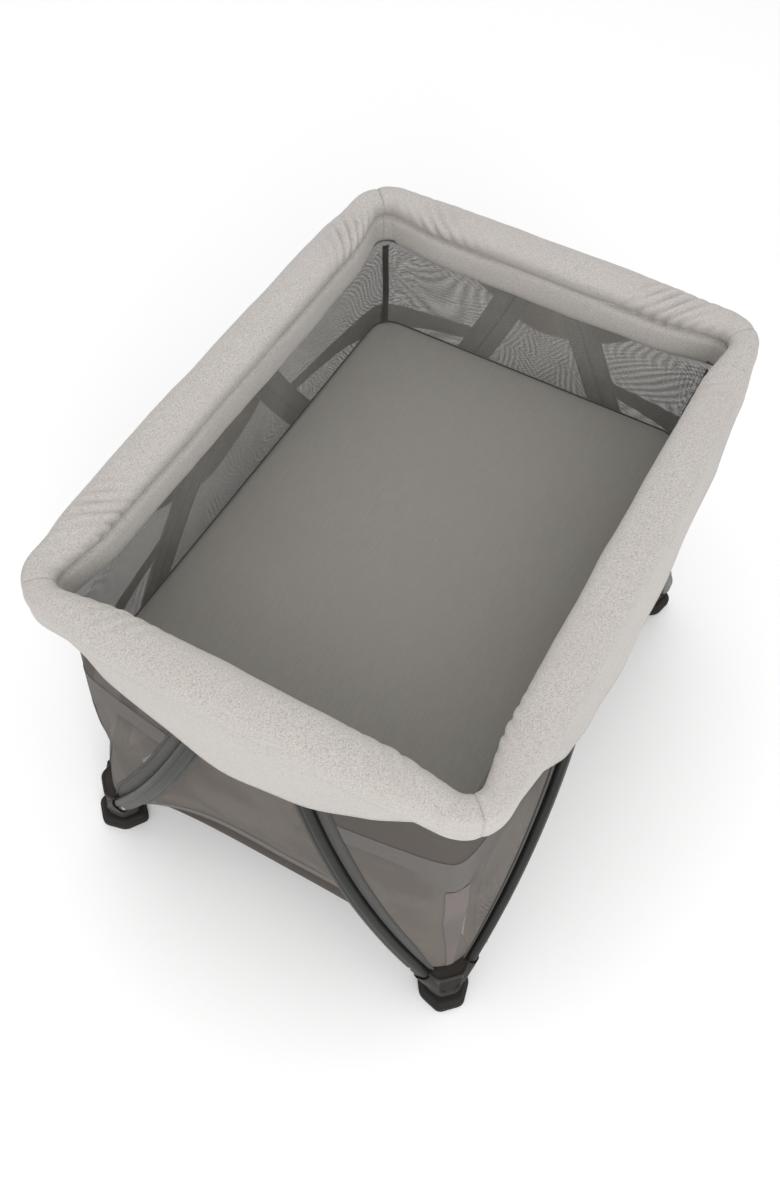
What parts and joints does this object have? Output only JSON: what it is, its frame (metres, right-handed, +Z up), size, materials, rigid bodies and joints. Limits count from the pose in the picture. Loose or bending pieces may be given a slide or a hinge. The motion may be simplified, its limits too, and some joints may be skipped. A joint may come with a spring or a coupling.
{
  "type": "travel play yard",
  "caption": "Folding travel play yard with padded rails, mesh walls, splayed legs, a lift-out bassinet insert and a mattress.",
  "frame": {"origin": "on the floor, at the centre of the outline", "axes": "+X along the length, -Y towards the front long side, +Z up"},
  "size_m": [1.041, 0.7632, 0.74],
  "materials": {
    "frame_tube": "satin painted",
    "moulded_plastic": "fine texture",
    "rubber_sole": "matt",
    "rail_fabric": "melange weave",
    "mesh_fabric": "open mesh",
    "shell_fabric": "plain weave",
    "mattress_fabric": "fine jersey"
  },
  "bodies": {
    "foot_back_right": {"foot_back_right": "moulded_plastic", "foot_pad_back_right": "rubber_sole", "shell_corner_back_right": "mesh_fabric"},
    "floor_arm_back_right": {"floor_arm_back_right": "frame_tube"},
    "foot_back_left": {"foot_back_left": "moulded_plastic", "foot_pad_back_left": "rubber_sole", "shell_corner_back_left": "mesh_fabric"},
    "floor_arm_back_left": {"floor_arm_back_left": "frame_tube"},
    "foot_front_left": {"foot_front_left": "moulded_plastic", "foot_pad_front_left": "rubber_sole", "shell_corner_front_left": "mesh_fabric"},
    "floor_arm_front_left": {"floor_arm_front_left": "frame_tube"},
    "foot_front_right": {"foot_front_right": "moulded_plastic", "foot_pad_front_right": "rubber_sole", "shell_corner_front_right": "mesh_fabric"},
    "floor_arm_front_right": {"floor_arm_front_right": "frame_tube"},
    "floor_hub": {"floor_hub": "moulded_plastic"},
    "pull_handle": {"pull_handle": "moulded_plastic"},
    "yard_floor": {"yard_floor": "shell_fabric"},
    "bassinet_insert": {"bassinet_insert": "mesh_fabric"},
    "mattress": {"mattress": "mattress_fabric"},
    "side_hub_front": {"side_hub_front": "moulded_plastic", "rail_pad_front": "rail_fabric", "skirt_front": "rail_fabric", "shell_panel_front": "shell_fabric"},
    "leg_front_left": {"leg_front_left": "frame_tube"},
    "rail_front_left": {"rail_front_left": "frame_tube"},
    "leg_front_right": {"leg_front_right": "frame_tube"},
    "rail_front_right": {"rail_front_right": "frame_tube"},
    "side_hub_back": {"side_hub_back": "moulded_plastic", "rail_pad_back": "rail_fabric", "skirt_back": "rail_fabric", "shell_panel_back": "shell_fabric"},
    "leg_back_left": {"leg_back_left": "frame_tube"},
    "rail_back_left": {"rail_back_left": "frame_tube"},
    "leg_back_right": {"leg_back_right": "frame_tube"},
    "rail_back_right": {"rail_back_right": "frame_tube"},
    "side_hub_left": {"side_hub_left": "moulded_plastic", "rail_pad_left": "rail_fabric", "skirt_left": "rail_fabric", "shell_panel_left": "shell_fabric"},
    "leg_left_front": {"leg_left_front": "frame_tube"},
    "rail_left_front": {"rail_left_front": "frame_tube"},
    "leg_left_back": {"leg_left_back": "frame_tube"},
    "rail_left_back": {"rail_left_back": "frame_tube"},
    "side_hub_right": {"side_hub_right": "moulded_plastic", "rail_pad_right": "rail_fabric", "skirt_right": "rail_fabric", "shell_panel_right": "shell_fabric"},
    "leg_right_front": {"leg_right_front": "frame_tube"},
    "rail_right_front": {"rail_right_front": "frame_tube"},
    "leg_right_back": {"leg_right_back": "frame_tube"},
    "rail_right_back": {"rail_right_back": "frame_tube"},
    "corner_bracket_back_right": {"corner_bracket_back_right": "moulded_plastic"},
    "corner_bracket_back_left": {"corner_bracket_back_left": "moulded_plastic"},
    "corner_bracket_front_left": {"corner_bracket_front_left": "moulded_plastic"},
    "corner_bracket_front_right": {"corner_bracket_front_right": "moulded_plastic"}
  },
  "joints": [
    {"name": "fold", "type": "hinge", "parent": "foot_back_right", "child": "floor_arm_back_right", "pos_m": [0.42396, 0.30283, 0.06], "axis": [-0.5812, 0.8137, 0], "range_deg": [0, 75], "deforming": ["shell_corner_back_right", "shell_corner_back_left", "shell_corner_front_left", "shell_corner_front_right", "rail_pad_front", "skirt_front", "shell_panel_front", "rail_pad_back", "skirt_back", "shell_panel_back", "rail_pad_left", "skirt_left", "shell_panel_left", "rail_pad_right", "skirt_right", "shell_panel_right", "yard_floor", "bassinet_insert", "mattress"]},
    {"name": "hub_level", "type": "hinge", "parent": "floor_arm_back_right", "child": "floor_hub", "pos_m": [0.04069, 0.02906, 0.06], "axis": [-0.5812, 0.8137, 0], "range_deg": [-75.05, 0]},
    {"name": "arm_back_left_pivot", "type": "hinge", "parent": "floor_hub", "child": "floor_arm_back_left", "pos_m": [-0.04069, 0.02906, 0.06], "axis": [-0.5812, -0.8137, 0], "range_deg": [0, 75.05]},
    {"name": "foot_back_left_pivot", "type": "hinge", "parent": "floor_arm_back_left", "child": "foot_back_left", "pos_m": [-0.42396, 0.30283, 0.06], "axis": [-0.5812, -0.8137, 0], "range_deg": [-75.05, 0]},
    {"name": "arm_front_left_pivot", "type": "hinge", "parent": "floor_hub", "child": "floor_arm_front_left", "pos_m": [-0.04069, -0.02906, 0.06], "axis": [0.5812, -0.8137, 0], "range_deg": [0, 75.05]},
    {"name": "foot_front_left_pivot", "type": "hinge", "parent": "floor_arm_front_left", "child": "foot_front_left", "pos_m": [-0.42396, -0.30283, 0.06], "axis": [0.5812, -0.8137, 0], "range_deg": [-75.05, 0]},
    {"name": "arm_front_right_pivot", "type": "hinge", "parent": "floor_hub", "child": "floor_arm_front_right", "pos_m": [0.04069, -0.02906, 0.06], "axis": [0.5812, 0.8137, 0], "range_deg": [0, 75.05]},
    {"name": "foot_front_right_pivot", "type": "hinge", "parent": "floor_arm_front_right", "child": "foot_front_right", "pos_m": [0.42396, -0.30283, 0.06], "axis": [0.5812, 0.8137, 0], "range_deg": [-75.05, 0]},
    {"name": "leg_front_right_pivot", "type": "hinge", "parent": "foot_front_right", "child": "leg_front_right", "pos_m": [0.447, -0.35, 0.072], "axis": [0, 1, 0], "range_deg": [0, 24.21]},
    {"name": "side_hub_front_pivot", "type": "hinge", "parent": "leg_front_right", "child": "side_hub_front", "pos_m": [0.045, -0.327, 0.68], "axis": [0, 1, 0], "range_deg": [-24.21, 0]},
    {"name": "leg_front_left_pivot", "type": "hinge", "parent": "side_hub_front", "child": "leg_front_left", "pos_m": [-0.045, -0.327, 0.68], "axis": [0, -1, 0], "range_deg": [0, 24.21]},
    {"name": "rail_front_left_pivot", "type": "hinge", "parent": "side_hub_front", "child": "rail_front_left", "pos_m": [-0.11, -0.343, 0.699], "axis": [0, -1, 0], "range_deg": [0, 90.05]},
    {"name": "corner_bracket_front_left_pivot", "type": "hinge", "parent": "rail_front_left", "child": "corner_bracket_front_left", "pos_m": [-0.384, -0.343, 0.699], "axis": [0, -1, 0], "range_deg": [-90.05, 0]},
    {"name": "rail_front_right_pivot", "type": "hinge", "parent": "side_hub_front", "child": "rail_front_right", "pos_m": [0.11, -0.343, 0.699], "axis": [0, 1, 0], "range_deg": [0, 90.05]},
    {"name": "corner_bracket_front_right_pivot", "type": "hinge", "parent": "rail_front_right", "child": "corner_bracket_front_right", "pos_m": [0.384, -0.343, 0.699], "axis": [0, 1, 0], "range_deg": [-90.05, 0]},
    {"name": "leg_back_left_pivot", "type": "hinge", "parent": "foot_back_left", "child": "leg_back_left", "pos_m": [-0.447, 0.35, 0.072], "axis": [0, -1, 0], "range_deg": [0, 24.21]},
    {"name": "side_hub_back_pivot", "type": "hinge", "parent": "leg_back_left", "child": "side_hub_back", "pos_m": [-0.045, 0.327, 0.68], "axis": [0, -1, 0], "range_deg": [-24.21, 0]},
    {"name": "leg_back_right_pivot", "type": "hinge", "parent": "side_hub_back", "child": "leg_back_right", "pos_m": [0.045, 0.327, 0.68], "axis": [0, 1, 0], "range_deg": [0, 24.21]},
    {"name": "rail_back_left_pivot", "type": "hinge", "parent": "side_hub_back", "child": "rail_back_left", "pos_m": [-0.11, 0.343, 0.699], "axis": [0, -1, 0], "range_deg": [0, 90.05]},
    {"name": "corner_bracket_back_left_pivot", "type": "hinge", "parent": "rail_back_left", "child": "corner_bracket_back_left", "pos_m": [-0.384, 0.343, 0.699], "axis": [0, -1, 0], "range_deg": [-90.05, 0]},
    {"name": "rail_back_right_pivot", "type": "hinge", "parent": "side_hub_back", "child": "rail_back_right", "pos_m": [0.11, 0.343, 0.699], "axis": [0, 1, 0], "range_deg": [0, 90.05]},
    {"name": "corner_bracket_back_right_pivot", "type": "hinge", "parent": "rail_back_right", "child": "corner_bracket_back_right", "pos_m": [0.384, 0.343, 0.699], "axis": [0, 1, 0], "range_deg": [-90.05, 0]},
    {"name": "leg_left_front_pivot", "type": "hinge", "parent": "foot_front_left", "child": "leg_left_front", "pos_m": [-0.48, -0.317, 0.072], "axis": [1, 0, 0], "range_deg": [0, 18.18]},
    {"name": "side_hub_left_pivot", "type": "hinge", "parent": "leg_left_front", "child": "side_hub_left", "pos_m": [-0.466, -0.04, 0.68], "axis": [1, 0, 0], "range_deg": [-18.18, 0]},
    {"name": "leg_left_back_pivot", "type": "hinge", "parent": "side_hub_left", "child": "leg_left_back", "pos_m": [-0.466, 0.04, 0.68], "axis": [-1, 0, 0], "range_deg": [0, 18.18]},
    {"name": "rail_left_front_pivot", "type": "hinge", "parent": "side_hub_left", "child": "rail_left_front", "pos_m": [-0.482, -0.072, 0.699], "axis": [1, 0, 0], "range_deg": [0, 90.05]},
    {"name": "rail_left_back_pivot", "type": "hinge", "parent": "side_hub_left", "child": "rail_left_back", "pos_m": [-0.482, 0.072, 0.699], "axis": [-1, 0, 0], "range_deg": [0, 90.05]},
    {"name": "leg_right_back_pivot", "type": "hinge", "parent": "foot_back_right", "child": "leg_right_back", "pos_m": [0.48, 0.317, 0.072], "axis": [-1, 0, 0], "range_deg": [0, 18.18]},
    {"name": "side_hub_right_pivot", "type": "hinge", "parent": "leg_right_back", "child": "side_hub_right", "pos_m": [0.466, 0.04, 0.68], "axis": [-1, 0, 0], "range_deg": [-18.18, 0]},
    {"name": "leg_right_front_pivot", "type": "hinge", "parent": "side_hub_right", "child": "leg_right_front", "pos_m": [0.466, -0.04, 0.68], "axis": [1, 0, 0], "range_deg": [0, 18.18]},
    {"name": "rail_right_front_pivot", "type": "hinge", "parent": "side_hub_right", "child": "rail_right_front", "pos_m": [0.482, -0.072, 0.699], "axis": [1, 0, 0], "range_deg": [0, 90.05]},
    {"name": "rail_right_back_pivot", "type": "hinge", "parent": "side_hub_right", "child": "rail_right_back", "pos_m": [0.482, 0.072, 0.699], "axis": [-1, 0, 0], "range_deg": [0, 90.05]},
    {"name": "floor_settle", "type": "slide", "parent": "floor_hub", "child": "yard_floor", "axis": [0, 0, 1], "range_m": [-0.0787, 0]},
    {"name": "insert_lift", "type": "slide", "parent": "yard_floor", "child": "bassinet_insert", "axis": [0, 0, 1], "range_m": [0, 0.35]},
    {"name": "mattress_lift", "type": "slide", "parent": "bassinet_insert", "child": "mattress", "axis": [0, 0, 1], "range_m": [0, 0.3]},
    {"name": "pull_handle_release", "type": "slide", "parent": "floor_hub", "child": "pull_handle", "axis": [0, 0, 1], "range_m": [0, 0.018], "stiffness_N_per_m": 300}
  ],
  "couplings": [
    {"joint": "hub_level", "follows": "fold", "ratio": -1},
    {"joint": "arm_back_left_pivot", "follows": "fold", "ratio": 1},
    {"joint": "foot_back_left_pivot", "follows": "fold", "ratio": -1},
    {"joint": "arm_front_left_pivot", "follows": "fold", "ratio": 1},
    {"joint": "foot_front_left_pivot", "follows": "fold", "ratio": -1},
    {"joint": "arm_front_right_pivot", "follows": "fold", "ratio": 1},
    {"joint": "foot_front_right_pivot", "follows": "fold", "ratio": -1},
    {"joint": "leg_front_right_pivot", "follows": "fold", "ratio": 0.32215},
    {"joint": "side_hub_front_pivot", "follows": "fold", "ratio": -0.32215},
    {"joint": "leg_front_left_pivot", "follows": "fold", "ratio": 0.32215},
    {"joint": "rail_front_left_pivot", "follows": "fold", "ratio": 1.2},
    {"joint": "corner_bracket_front_left_pivot", "follows": "fold", "ratio": -1.2},
    {"joint": "rail_front_right_pivot", "follows": "fold", "ratio": 1.2},
    {"joint": "corner_bracket_front_right_pivot", "follows": "fold", "ratio": -1.2},
    {"joint": "leg_back_left_pivot", "follows": "fold", "ratio": 0.32215},
    {"joint": "side_hub_back_pivot", "follows": "fold", "ratio": -0.32215},
    {"joint": "leg_back_right_pivot", "follows": "fold", "ratio": 0.32215},
    {"joint": "rail_back_left_pivot", "follows": "fold", "ratio": 1.2},
    {"joint": "corner_bracket_back_left_pivot", "follows": "fold", "ratio": -1.2},
    {"joint": "rail_back_right_pivot", "follows": "fold", "ratio": 1.2},
    {"joint": "corner_bracket_back_right_pivot", "follows": "fold", "ratio": -1.2},
    {"joint": "leg_left_front_pivot", "follows": "fold", "ratio": 0.24169},
    {"joint": "side_hub_left_pivot", "follows": "fold", "ratio": -0.24169},
    {"joint": "leg_left_back_pivot", "follows": "fold", "ratio": 0.24169},
    {"joint": "rail_left_front_pivot", "follows": "fold", "ratio": 1.2},
    {"joint": "rail_left_back_pivot", "follows": "fold", "ratio": 1.2},
    {"joint": "leg_right_back_pivot", "follows": "fold", "ratio": 0.24169},
    {"joint": "side_hub_right_pivot", "follows": "fold", "ratio": -0.24169},
    {"joint": "leg_right_front_pivot", "follows": "fold", "ratio": 0.24169},
    {"joint": "rail_right_front_pivot", "follows": "fold", "ratio": 1.2},
    {"joint": "rail_right_back_pivot", "follows": "fold", "ratio": 1.2},
    {"joint": "floor_settle", "follows": "fold", "m_per_rad": -0.059338}
  ]
}
